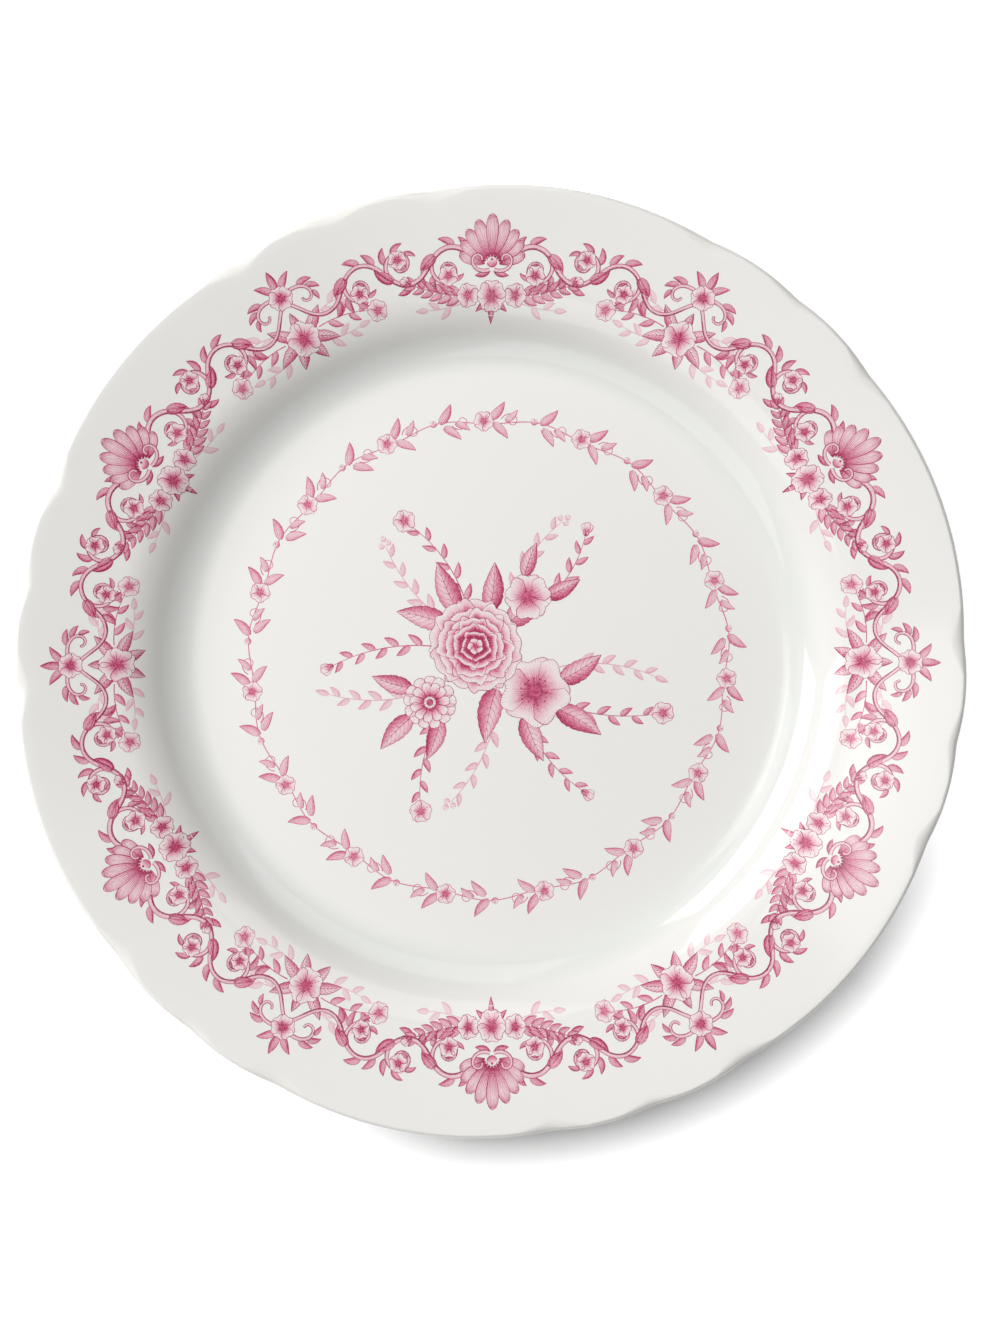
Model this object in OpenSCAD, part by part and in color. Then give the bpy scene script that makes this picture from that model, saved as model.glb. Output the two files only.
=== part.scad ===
// Scalloped china dinner plate with a printed border, wreath and posy.
// Millimetres. The plate stands on its foot ring at z = 0, centred on the Z axis,
// and +Y is the top of the printed posy.

/* [Plate] */
// Diameter across two opposite long lobes
plate_d = 270; // [266:2:300]
// Diameter of the flat floor
floor_d = 163; // [159:1:166]
// Diameter where the wall of the well turns into the rim
shoulder_d = 213; // [208:1:215]
// Steepest slope of the well's wall, in degrees
wall_slope = 45; // [38:1:50]
// Slope of the rim, in degrees
rim_slope = 13; // [8:1:16]
// Thickness of the glazed ware
ware_t = 4.2; // [3.6:0.1:5]

/* [Scalloped edge] */
// How far the dips lie inside the crest of a long lobe
dip_depth = 1.3; // [1:0.1:2]
// How far the crest of a short lobe lies inside that of a long lobe
short_crest_drop = 0.5; // [0.3:0.1:0.8]
// Angle that one short lobe spans, in degrees
short_lobe_span = 12.5; // [9:0.5:15]
// Direction of the first long lobe, in degrees from +X
lobe_phase = 20; // [0:1:60]

/* [Foot ring] */
// Diameter of the middle of the foot ring
foot_d = 168; // [160:1:172]
// Width of the foot ring
foot_w = 4.4; // [3.6:0.1:5.5]
// Depth of the recess inside the foot ring
foot_h = 2.6; // [2:0.1:3.6]
// Height of the foot ring that the glaze leaves bare
bare_h = 1; // [0.6:0.1:1.4]

/* [Glaze and print] */
// Thickness of the glaze coat
glaze_t = 0.25; // [0.15:0.05:0.4]
// Thickness of the printed film
film_t = 0.1; // [0.08:0.01:0.15]

/* [Hidden] */
$fn = 96;

// Repeats of the scallops and of the border round the rim
repeats = 6;
repeat_span = 360 / repeats;

// Fired colours
clay_colour = [0.90, 0.88, 0.83];
glaze_colour = [0.92, 0.92, 0.90];
print_colour = [0.76, 0.36, 0.50];

// Section of the ware: two arcs make the wall of the well, and each takes half of its width
rim_r = plate_d / 2;
floor_r = floor_d / 2;
wall_run = shoulder_d / 2 - floor_r;
cove_r = wall_run / 2 / sin(wall_slope);
shoulder_r = wall_run / 2 / (sin(wall_slope) - sin(rim_slope));
floor_z = foot_h + ware_t;
cove_c = [floor_r, floor_z + cove_r];
shoulder_c = cove_c + (cove_r + shoulder_r) * [sin(wall_slope), -cos(wall_slope)];
// The lip is a bevel that starts just inside the dips, so that the scallops trim nothing else
half_t = ware_t / 2;
lip_proud = 0.6;
lip_clear = 0.3;
lip_start = rim_r - dip_depth - glaze_t - lip_clear - half_t * sin(rim_slope);
lip_len = (rim_r + lip_proud - lip_start) / cos(rim_slope);
lip_side = sqrt(lip_len * lip_len + half_t * half_t);
mid_start = shoulder_c + (shoulder_r - half_t) * [-sin(rim_slope), cos(rim_slope)];
lip_c = [lip_start, mid_start[1] + (lip_start - mid_start[0]) * tan(rim_slope)];
ware_top = lip_c[1] + lip_len;
arc_steps = 8;

// Foot ring
foot_in = foot_d / 2 - foot_w / 2;
foot_out = foot_d / 2 + foot_w / 2;
foot_chamfer = 0.7;
foot_root_z = floor_z - ware_t / 3;

// Scallops: every repeat is one long lobe and two short ones
dip_r = rim_r - dip_depth;
short_crest_r = rim_r - short_crest_drop;
long_half = (repeat_span - 2 * short_lobe_span) / 2;
short_half = short_lobe_span / 2;

// Printed border: x runs along the rim at border_r, and r is the distance from the axis
border_r = 118;
first_section = 90;
section_len = 2 * PI * border_r / repeats;
film_out = rim_r - 5;
film_top = 60;

// Winding stem of the border: it starts beside the palmette and swings about a middle line
stem_from = 5.4;
stem_mid_r = 113.4;
stem_swing = 4.3;
stem_half_wave = 12.6;
stem_w = 1.3;
stem_bend_r = (stem_half_wave * stem_half_wave / 4 + stem_swing * stem_swing) / (2 * stem_swing);
stem_reach = 2 * atan(2 * stem_swing / stem_half_wave) + 6;

// Wreath: leaf pairs about a ring, with a flower or a berry between pairs
wreath_r = 68;
wreath_units = 30;

// Offset of a lobe's centre from the axis, for a circle through its crest and its two dips
function lobe_offset(crest, half) =
    (crest * crest - dip_r * dip_r) / (2 * (crest - dip_r * cos(half)));
// Points on a circle about c, from direction a to direction b
function arc(c, r, a, b, steps) =
    [for (i = [0:steps]) let (t = a + (b - a) * i / steps) c + r * [cos(t), sin(t)]];
// A point of the lip, u along the rim from the lip's start and v across it
function lip_point(u, v) =
    lip_c + u * [cos(rim_slope), sin(rim_slope)] + v * [-sin(rim_slope), cos(rim_slope)];
// The bevelled lip from the front over its edge to the underside, drawn in by inset
function lip_edge(inset) = let (back = inset * (lip_len - lip_side) / half_t) [
    lip_point(back, half_t - inset),
    lip_point(lip_len - inset * lip_side / half_t, 0),
    lip_point(back, inset - half_t)];
// Height of the glazed front of the rim at a distance from the axis
function rim_z(r) = lip_c[1] + half_t / cos(rim_slope) + (r - lip_c[0]) * tan(rim_slope);
// Points of a list from the second on, and a list from back to front
function rest_of(list) = [for (i = [1:len(list) - 1]) list[i]];
function reversed(list) = [for (i = [len(list) - 1:-1:0]) list[i]];
// Upper half of the wall's front and the rim's front out to the film's edge, raised by lift
function print_ground(lift) = concat(
    arc(shoulder_c, shoulder_r + lift, wall_slope + 90, rim_slope + 90, arc_steps),
    [[film_out, rim_z(film_out)] + lift * [-sin(rim_slope), cos(rim_slope)]]);
// Angle of x along the border
function rim_turn(x) = -x / border_r * 180 / PI;

// Half section of the ware, drawn in from the glazed surface by inset
module ware_section(inset) {
    front = concat(
        arc(cove_c, cove_r + inset, -90, wall_slope - 90, arc_steps),
        rest_of(arc(shoulder_c, shoulder_r - inset, wall_slope + 90, rim_slope + 90, arc_steps)));
    under = concat(
        arc(shoulder_c, shoulder_r - ware_t + inset, rim_slope + 90, wall_slope + 90, arc_steps),
        rest_of(arc(cove_c, cove_r + ware_t - inset, wall_slope - 90, -90, arc_steps)));
    polygon(concat([[0, floor_z - inset]], front, lip_edge(inset), under, [[0, floor_z - ware_t + inset]]));
}

// Plan of the scalloped edge
module edge_plan(inset) {
    for (i = [0:repeats - 1], lobe = [[0, rim_r, long_half],
            [-long_half - short_half, short_crest_r, short_half],
            [long_half + short_half, short_crest_r, short_half]]) {
        offset_r = lobe_offset(lobe[1], lobe[2]);
        rotate(lobe_phase + i * repeat_span + lobe[0])
            translate([offset_r, 0]) circle(lobe[1] - offset_r - inset, $fn = 360);
    }
}

// The ware without its foot ring
module ware(inset) {
    intersection() {
        rotate_extrude($fn = 360) ware_section(inset);
        linear_extrude(ware_top) edge_plan(inset);
    }
}

module fired_clay() {
    ware(glaze_t);
    rotate_extrude($fn = 360)
        polygon([[foot_in, foot_root_z], [foot_in, foot_chamfer], [foot_in + foot_chamfer, 0],
                 [foot_out - foot_chamfer, 0], [foot_out, foot_chamfer], [foot_out, foot_root_z]]);
}

// All the glaze: the ware's skin and a collar on each side of the foot ring
module glaze_coat() {
    difference() {
        union() {
            ware(0);
            rotate_extrude($fn = 360)
                polygon([[foot_in - glaze_t, bare_h], [foot_out + glaze_t, bare_h],
                         [foot_out + glaze_t, foot_root_z], [foot_in - glaze_t, foot_root_z]]);
        }
        fired_clay();
    }
}

// Space below the floor, out to the middle of the foot ring
module foot_recess() {
    cylinder(h = foot_root_z - ware_t / 4, d = foot_d, $fn = 360);
}

// Drawing elements, in the plane

// Pointed leaf from the origin along +Y
module leaf(length, width) {
    r = (length * length + width * width) / (4 * width);
    intersection() {
        translate([r - width / 2, length / 2]) circle(r);
        translate([width / 2 - r, length / 2]) circle(r);
    }
}

// Open flower of round petals about a middle
module blossom(petals, r) {
    for (i = [0:petals - 1]) rotate(i * 360 / petals) translate([0, r * 0.62]) circle(r * 0.38);
    circle(r * 0.42);
}

// Part of a ring, from direction a to direction b
module ring_part(r, width, a, b) {
    reach = 2 * r;
    intersection() {
        difference() {
            circle(r + width / 2);
            circle(r - width / 2);
        }
        polygon(concat([[0, 0]], arc([0, 0], reach, a, b, 6)));
    }
}

// Curled tendril with leaves on its back and a flower in its middle, from direction a to b
module curl(r, a, b, leaves) {
    leaf_len = 5;
    leaf_w = 2.1;
    leaf_lean = 34;
    leaf_step = 52;
    way = sign(b - a);
    ring_part(r, stem_w, min(a, b), max(a, b));
    for (k = [1:leaves]) rotate(a + way * leaf_step * k) translate([r, 0])
        rotate(way * leaf_lean - 90) leaf(leaf_len, leaf_w);
    blossom(5, r * 0.56);
}

// Curved spray of leaf pairs and a bud, from the origin along +Y
module spray(pairs, step, bend) {
    leaf_lean = 44;
    leaf_len = 4.8;
    leaf_w = 1.9;
    shorter = 0.3;
    for (k = [1:pairs], side = [-1, 1]) rotate(bend * k) translate([0, step * k])
        rotate(side * leaf_lean) translate([0, leaf_w / 4]) leaf(leaf_len - shorter * k, leaf_w);
    rotate(bend * (pairs + 1)) translate([0, step * (pairs + 1)]) leaf(leaf_len, leaf_w);
}

// Places a drawing at x along the border and r from the axis, with +Y outwards
module on_rim(x, r) {
    rotate(rim_turn(x)) translate([0, r]) children();
}

module both_sides() {
    children();
    mirror([1, 0]) children();
}

// Fan of nine petals in the middle of a section
module palmette() {
    root_r = 112;
    fan_step = 19;
    petal_len = 12.5;
    petal_w = 3.3;
    shorter = 1.1;
    on_rim(0, root_r) {
        for (k = [-4:4]) rotate(k * fan_step) translate([0, petal_w / 2])
            leaf(petal_len - shorter * abs(k), petal_w);
        circle(petal_w);
    }
}

// Winding stem of ring parts, with a curl in each bend but the last and leaves on the other side
module rinceau() {
    bends = 4;
    curl_r = 4.6;
    curl_shift = [0.6, 1.2];
    curl_from = 60;
    curl_to = 200;
    leaf_len = 5;
    leaf_w = 2;
    leaf_x = 4;
    leaf_drop = 1.4;
    leaf_turn = 50;
    for (bend = [0:bends - 1]) {
        outer = bend % 2 == 0 ? 1 : -1;
        on_rim(stem_from + stem_half_wave * (bend + 0.5), stem_mid_r) {
            translate([0, outer * (stem_swing - stem_bend_r)])
                ring_part(stem_bend_r, stem_w, outer * 90 - stem_reach, outer * 90 + stem_reach);
            if (bend < bends - 1) translate([curl_shift[0], -outer * curl_shift[1]])
                curl(curl_r, outer * curl_from, -outer * curl_to, bend == 0 ? 2 : 4);
            for (side = [-1, 1]) translate([side * leaf_x, outer * (stem_swing - leaf_drop)])
                rotate(outer * leaf_turn - 90) leaf(leaf_len, leaf_w);
        }
    }
}

// Hanging garland of three flowers and two leafy swags
module festoon() {
    hang_r = 103.2;
    flower_r = 4.5;
    side_flower = [8.4, 3.2];
    hanging_leaf = [5, 2.2];
    leaf_root = 2.4;
    swag_from = 12.6;
    swag_step = 3.2;
    swag_pairs = 5;
    swag_rise = 0.12;
    swag_leaf = [4.6, 1.8];
    swag_turn = 82;
    leaf_lean = 42;
    shorter = 0.4;
    on_rim(0, hang_r) {
        blossom(6, flower_r);
        for (turn = [-128, 128, 180]) rotate(turn) translate([0, leaf_root])
            leaf(hanging_leaf[0], hanging_leaf[1]);
    }
    both_sides() {
        on_rim(side_flower[0], hang_r + shorter) blossom(5, side_flower[1]);
        for (k = [0:swag_pairs - 1], side = [-1, 1])
            on_rim(swag_from + swag_step * k, hang_r - swag_leaf[1] / 3 + swag_rise * k * k)
                rotate(swag_pairs * k - swag_turn + side * leaf_lean) translate([0, swag_leaf[1] / 3])
                    leaf(swag_leaf[0] - shorter * k, swag_leaf[1]);
    }
}

// Two flowers with leaves about them where two sections meet
module joint_spray() {
    outer_r = 119;
    inner_r = 105.5;
    outer_flower = 3.8;
    inner_flower = 5;
    leaf_root = 2.4;
    on_rim(section_len / 2, outer_r) {
        blossom(6, outer_flower);
        for (turn = [-112, -72, -34, 0, 34, 72, 112]) rotate(turn) translate([0, leaf_root]) leaf(5.8, 2.2);
    }
    on_rim(section_len / 2, inner_r) {
        blossom(5, inner_flower);
        for (turn = [-146, -104, -58, 0, 58, 104, 146]) rotate(turn) translate([0, leaf_root]) leaf(6.6, 3.2);
    }
}

// One printed section of the border, on the front of the shoulder and the rim
module rim_section(index) {
    rotate(first_section - 90 + index * repeat_span) intersection() {
        rotate_extrude($fn = 360) polygon(concat(print_ground(0), reversed(print_ground(film_t))));
        linear_extrude(film_top) {
            palmette();
            both_sides() rinceau();
            festoon();
            joint_spray();
        }
    }
}

// One leaf pair of the wreath, with a flower or a berry before it
module wreath_unit(flower) {
    translate([0, wreath_r]) {
        rotate(-58) translate([0, 0.6]) leaf(6.4, 2.5);
        rotate(-118) translate([0, 0.6]) leaf(6, 2.3);
        if (flower) translate([-2.4, 0]) blossom(5, 2.5);
        else translate([-1.6, 0.9]) circle(0.9);
    }
}

// Four flowers with leaves and sprays about them
module posy() {
    translate([-4, 4]) blossom(8, 13.5);
    translate([13, -9]) blossom(5, 9.5);
    translate([-17, -12]) blossom(9, 7.5);
    translate([11, 18]) blossom(6, 6.4);
    for (p = [[-12, 10, 66, 15], [-9, 14, 30, 15], [0, 14, -14, 14], [5, 10, -46, 16],
              [20, -6, -66, 14], [19, -14, -112, 15], [10, -16, -164, 14], [2, -8, 160, 16],
              [-14, -17, 168, 12], [-22, -16, 128, 13], [-22, -8, 80, 12], [16, 18, -70, 11],
              [10, 24, -14, 10]])
        translate([p[0], p[1]]) rotate(p[2]) leaf(p[3], 0.44 * p[3]);
    for (s = [[-10, 24, 14, 4], [14, 30, -20, -5], [24, 24, -60, 5], [30, -4, -80, -5],
              [28, -22, -118, 4], [12, -30, -164, 5], [-2, -26, 172, -5], [-22, -28, 150, 4],
              [-34, -16, 104, -5], [-28, 4, 80, 5], [-26, 18, 54, -4]])
        translate([s[0], s[1]]) rotate(s[2]) spray(3, 4.4, s[3]);
}

// Sub-parts

module clay_body() {
    color(clay_colour) fired_clay();
}

module outer_glaze() {
    color(glaze_colour) difference() {
        glaze_coat();
        foot_recess();
    }
}

module recess_glaze() {
    color(glaze_colour) intersection() {
        glaze_coat();
        foot_recess();
    }
}

module rim_transfer(index) {
    color(print_colour) rim_section(index);
}

module wreath_transfer() {
    color(print_colour) translate([0, 0, floor_z]) linear_extrude(film_t)
        for (k = [0:wreath_units - 1]) rotate(k * 360 / wreath_units) wreath_unit(k % 2 == 0);
}

module centre_transfer() {
    color(print_colour) translate([0, 0, floor_z]) linear_extrude(film_t) posy();
}

clay_body();
outer_glaze();
recess_glaze();
rim_transfer(0);  // rim_transfer_1
rim_transfer(1);  // rim_transfer_2
rim_transfer(2);  // rim_transfer_3
rim_transfer(3);  // rim_transfer_4
rim_transfer(4);  // rim_transfer_5
rim_transfer(5);  // rim_transfer_6
wreath_transfer();
centre_transfer();
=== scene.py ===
"""Scalloped china dinner plate: its glaze, its printed border, wreath and posy, and its light."""

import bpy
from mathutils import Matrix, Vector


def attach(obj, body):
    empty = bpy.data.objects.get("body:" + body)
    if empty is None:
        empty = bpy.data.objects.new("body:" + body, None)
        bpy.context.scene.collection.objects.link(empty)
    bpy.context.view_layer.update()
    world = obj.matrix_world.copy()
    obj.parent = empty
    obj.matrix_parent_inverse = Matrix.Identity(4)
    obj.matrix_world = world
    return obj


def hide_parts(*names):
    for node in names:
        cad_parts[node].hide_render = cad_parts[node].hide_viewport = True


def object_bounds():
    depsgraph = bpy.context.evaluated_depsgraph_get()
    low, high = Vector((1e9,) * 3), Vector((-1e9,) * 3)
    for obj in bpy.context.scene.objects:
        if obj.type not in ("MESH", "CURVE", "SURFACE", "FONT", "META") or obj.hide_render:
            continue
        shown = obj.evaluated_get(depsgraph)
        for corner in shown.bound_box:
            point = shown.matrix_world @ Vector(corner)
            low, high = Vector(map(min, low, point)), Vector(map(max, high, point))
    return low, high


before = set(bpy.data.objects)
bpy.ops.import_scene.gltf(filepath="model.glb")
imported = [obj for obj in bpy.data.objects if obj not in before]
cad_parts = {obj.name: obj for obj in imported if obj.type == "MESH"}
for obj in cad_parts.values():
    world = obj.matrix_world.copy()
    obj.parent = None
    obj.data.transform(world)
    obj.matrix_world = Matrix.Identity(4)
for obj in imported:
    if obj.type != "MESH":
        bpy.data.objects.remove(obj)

import copy
import math

import bpy
import numpy as np
from mathutils import Vector

bl_info = {
    "name": "Printed china plate",
    "version": (1, 0, 0),
    "blender": (4, 5, 0),
    "location": "3D View > Sidebar > Plate",
    "description": "Builds a scalloped dinner plate with a printed border, wreath and posy",
    "category": "Add Mesh",
}

CAD_BOX = [list(corner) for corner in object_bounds()]
MM = 0.001
REPEATS = 6
FOOT_FILLET = 1.4 * MM
FOOT_EDGE = 0.7 * MM
SHARP_EDGE = math.radians(50)
RIM_NODES = [f"rim_transfer_{i + 1}" for i in range(REPEATS)]


def length(name, description, default):
    """A length property in metres."""
    return bpy.props.FloatProperty(
        name=name, description=description, default=default, unit="LENGTH", precision=5)


def angle(name, description, degrees):
    """An angle property, whose default is given in degrees."""
    return bpy.props.FloatProperty(
        name=name, description=description, default=math.radians(degrees), unit="ROTATION")


def number(name, description, default):
    """A plain factor."""
    return bpy.props.FloatProperty(name=name, description=description, default=default)


def colour(name, description, red, green, blue):
    """A colour property, whose default is given as screen values from 0 to 255."""
    screen = np.array([red, green, blue]) / 255
    linear = np.where(screen <= 0.04045, screen / 12.92, ((screen + 0.055) / 1.055) ** 2.4)
    return bpy.props.FloatVectorProperty(
        name=name, description=description, default=[float(c) for c in linear],
        size=3, subtype="COLOR", min=0, max=1)


class WareSizes(bpy.types.PropertyGroup):
    """Sizes of the fired ware."""
    plate_d: length("Diameter", "Across two opposite long lobes", 0.270)
    floor_d: length("Floor", "Diameter of the flat floor", 0.163)
    shoulder_d: length("Shoulder", "Diameter where the wall of the well turns into the rim", 0.213)
    wall_slope: angle("Wall slope", "Steepest slope of the well's wall", 45)
    rim_slope: angle("Rim slope", "Slope of the rim", 13)
    ware_t: length("Thickness", "Thickness of the glazed ware", 0.0042)
    dip_depth: length("Dip depth", "How far the dips lie inside the crest of a long lobe", 0.0013)
    short_drop: length("Short lobe drop", "How far a short lobe's crest lies inside a long lobe's", 0.0005)
    short_span: angle("Short lobe", "Angle that one short lobe spans", 12.5)
    lobe_phase: angle("Lobe phase", "Direction of the first long lobe", 20)
    lip_len: length("Lip", "Radial length of the rounded lip on a crest", 0.0014)
    flute_len: length("Flute", "How much further the lip reaches in at a dip beside a long lobe", 0.0032)
    flute_half: angle("Flute width", "Angle from the middle of a flute to its side", 4.2)
    foot_d: length("Foot", "Diameter of the middle of the foot ring", 0.168)
    foot_w: length("Foot width", "Width of the foot ring", 0.0044)
    foot_h: length("Foot depth", "Depth of the recess inside the foot ring", 0.0026)
    bare_h: length("Bare foot", "Height of the foot ring that the glaze leaves bare", 0.001)
    glaze_t: length("Glaze", "Thickness of the glaze coat", 0.00025)
    glaze_colour: colour("Glaze", "Colour of the glazed china", 240, 239, 235)
    thin_colour: colour("Thin glaze", "Colour where the glaze runs thin on an edge", 236, 232, 227)
    pool_colour: colour("Pooled glaze", "Colour where the glaze lies thick", 232, 234, 230)
    clay_colour: colour("Bare clay", "Colour of the fired clay on the foot ring", 222, 213, 196)


class PrintLook(bpy.types.PropertyGroup):
    """Layout and inks of the transfer print."""
    border_r: length("Border radius", "Circle along which the border is measured", 0.118)
    wreath_r: length("Wreath radius", "Middle of the wreath", 0.068)
    ply: length("Ply", "Height from one laid stroke to the one on it", 0.000003)
    wash: colour("Wash", "Palest ink", 238, 208, 215)
    rose: colour("Rose", "Middle ink", 224, 142, 167)
    crimson: colour("Crimson", "Strong ink", 197, 76, 117)
    deep: colour("Deep", "Darkest line", 158, 42, 82)


class StageLook(bpy.types.PropertyGroup):
    """Camera, lamps and floor."""
    view_height: length("Picture height", "Height of the picture at the rim", 0.375)
    view_x: length("Aim X", "Where the camera aims, along X", 0.0020)
    view_y: length("Aim Y", "Where the camera aims, along Y", -0.00054)
    camera_far: length("Camera distance", "From the camera to the point it aims at", 1.48)
    tilt_x: angle("Tilt X", "How far the camera leans about X from looking straight down", -4.1)
    tilt_y: angle("Tilt Y", "How far the camera leans about Y from looking straight down", -3.2)
    window_watts: number("Window", "Power of the window at the upper left", 13.3)
    upper_watts: number("Upper window", "Power of the window's upper light", 1.2)
    pane_watts: number("Pane", "Power of the small pane high over the window", 1.1)
    skylight_watts: number("Skylight", "Power of the small light for the right of the rim", 0.5)
    sky_watts: number("Sky", "Power of the panel overhead", 2.3)
    wall_watts: number("Walls", "Power of each pale wall beside the table", 6.0)
    fill: number("Fill", "Strength of the light from all round", 0.08)
    floor_glow: number("Floor glow", "Extra white of the floor as the camera sees it", 0.7)
    # Painted shade: the floor's camera glow is held back in a sector beside the plate, so a dark band shows
    # there, while elsewhere the glow whitens the real shadow.
    painted_shade_side: angle("Shade side", "Direction in which the floor beside the plate keeps its shade", -67)
    painted_shade_from: length("Shade start", "Distance from the axis at which the floor begins to brighten", 0.137)
    painted_shade_width: length("Shade width", "Distance over which the floor brightens", 0.014)


def ware_sizes():
    return bpy.context.scene.plate_ware


def print_look():
    return bpy.context.scene.plate_print


def stage_look():
    return bpy.context.scene.plate_stage


def around(segments):
    """Directions spaced evenly about the axis."""
    return np.linspace(0, 2 * math.pi, segments, endpoint=False)


class Ware:
    """The plate's surface as formulas: r is the distance from the axis and theta the direction about it."""

    def __init__(self, sizes):
        self.sizes = sizes
        self.rim_r = sizes.plate_d / 2
        self.floor_r = sizes.floor_d / 2
        self.half_t = sizes.ware_t / 2
        self.floor_z = sizes.foot_h + sizes.ware_t
        wall, rim = sizes.wall_slope, sizes.rim_slope
        run = sizes.shoulder_d / 2 - self.floor_r
        self.cove_r = run / 2 / math.sin(wall)
        self.shoulder_r = run / 2 / (math.sin(wall) - math.sin(rim))
        self.cove_z = self.floor_z + self.cove_r
        reach = self.cove_r + self.shoulder_r
        self.shoulder_x = self.floor_r + reach * math.sin(wall)
        self.shoulder_z = self.cove_z - reach * math.cos(wall)
        self.foot_in = (sizes.foot_d - sizes.foot_w) / 2
        self.foot_out = (sizes.foot_d + sizes.foot_w) / 2
        self.recess_z = sizes.foot_h

    def lobes(self):
        """Direction, crest radius and half angle of every lobe: one long and two short in each repeat."""
        s = self.sizes
        short_half = s.short_span / 2
        long_half = math.pi / REPEATS - s.short_span
        aside = long_half + short_half
        unit = [(0, self.rim_r, long_half)]
        unit += [(side * aside, self.rim_r - s.short_drop, short_half) for side in (-1, 1)]
        turns = s.lobe_phase + np.arange(REPEATS) * 2 * math.pi / REPEATS
        return np.array([(turn + at, crest, half) for turn in turns for at, crest, half in unit])

    def outline(self, theta):
        """Edge radius: each lobe is a circle through its crest and dips, and a soft maximum joins them."""
        softness = 0.12 * MM
        at, crest, half = self.lobes().T[:, :, None]
        dip = self.rim_r - self.sizes.dip_depth
        offset = (crest**2 - dip**2) / (2 * (crest - dip * np.cos(half)))
        away = theta.ravel()[None] - at
        across = offset * np.sin(away)
        radius = offset * np.cos(away) + np.sqrt((crest - offset) ** 2 - across**2)
        on_this_side = np.cos(away) > 0.5
        radius = np.where(on_this_side, radius, 0)
        top = radius.max(0)
        joined = top + softness * np.log(np.exp((radius - top) / softness).sum(0))
        return np.minimum(joined, self.rim_r).reshape(theta.shape)

    def lip(self, theta, inset=0.0):
        """Radius where the lip begins to round over, and its length from there to the edge.

        At a dip it reaches further in, as a flute that narrows inwards: a straight fall with the angle
        from the dip, rounded at its tip, and less deep between two short lobes."""
        s = self.sizes
        tip_round, short_share = 0.12, 0.6
        repeat = 2 * math.pi / REPEATS
        away = np.abs((theta - s.lobe_phase + repeat / 2) % repeat - repeat / 2)
        beside_long = 1 - np.hypot((away - repeat / 2 + s.short_span) / s.flute_half, tip_round)
        between_short = short_share * (1 - np.hypot((repeat / 2 - away) / s.flute_half, tip_round))
        flute = np.maximum(np.maximum(beside_long, between_short), 0)
        reach = s.lip_len + s.flute_len * flute
        return self.outline(theta) - reach, reach - inset

    def mid_z(self, r):
        """Height of the middle of the rim, a straight slope."""
        slope = self.sizes.rim_slope
        mid_r = self.shoulder_r - self.half_t
        start_r = self.shoulder_x - mid_r * math.sin(slope)
        start_z = self.shoulder_z + mid_r * math.cos(slope)
        return start_z + (r - start_r) * math.tan(slope)

    def rim_half(self, inset=0.0):
        """Half the upright thickness of the rim."""
        return (self.half_t - inset) / math.cos(self.sizes.rim_slope)

    def front_z(self, r, theta):
        """Height of the front: flat floor, cove arc, shoulder arc, sloping rim and the lip's ellipse."""
        wall, rim = self.sizes.wall_slope, self.sizes.rim_slope
        cove_end = self.floor_r + self.cove_r * math.sin(wall)
        shoulder_end = self.shoulder_x - self.shoulder_r * math.sin(rim)
        cove = self.cove_z - np.sqrt(np.maximum(self.cove_r**2 - (r - self.floor_r) ** 2, 0))
        shoulder = self.shoulder_z + np.sqrt(np.maximum(self.shoulder_r**2 - (r - self.shoulder_x) ** 2, 0))
        start, reach = self.lip(theta)
        over = np.clip((r - start) / reach, 0, 1)
        slope = self.mid_z(r) + self.rim_half() * np.sqrt(1 - over**2)
        return np.select([r < self.floor_r, r < cove_end, r < shoulder_end],
                         [np.full_like(r, self.floor_z), cove, shoulder], slope)

    def front(self, x, y):
        """Point on the front above x, y, and the surface normal there from differences of the height."""
        step = 0.02 * MM

        def height(px, py):
            return self.front_z(np.hypot(px, py), np.arctan2(py, px))

        z = height(x, y)
        dx = (height(x + step, y) - height(x - step, y)) / (2 * step)
        dy = (height(x, y + step) - height(x, y - step)) / (2 * step)
        normal = np.stack([-dx, -dy, np.ones_like(z)], -1)
        normal /= np.linalg.norm(normal, axis=-1, keepdims=True)
        return np.stack([x, y, z], -1), normal

    def skin(self, theta, inset, detail):
        """Rows of radius and height from the floor's middle over the lip to the foot, drawn in by inset.

        The third value of a row says how the glaze lies: -1 thin on an edge, 1 pooled in a hollow."""
        wall, rim = self.sizes.wall_slope, self.sizes.rim_slope
        flat = np.ones_like(theta)[None]
        start, reach = self.lip(theta, inset)
        half = self.rim_half(inset)
        rows = []

        def steps(count):
            return np.linspace(0, 1, max(2, round(count * detail)) + 1)[:, None]

        def add(r, z, coat):
            shape = np.broadcast_shapes(np.shape(r), np.shape(z), flat.shape)
            rows.append([np.broadcast_to(part, shape) for part in (r, z, coat * np.ones(shape))])

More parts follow.
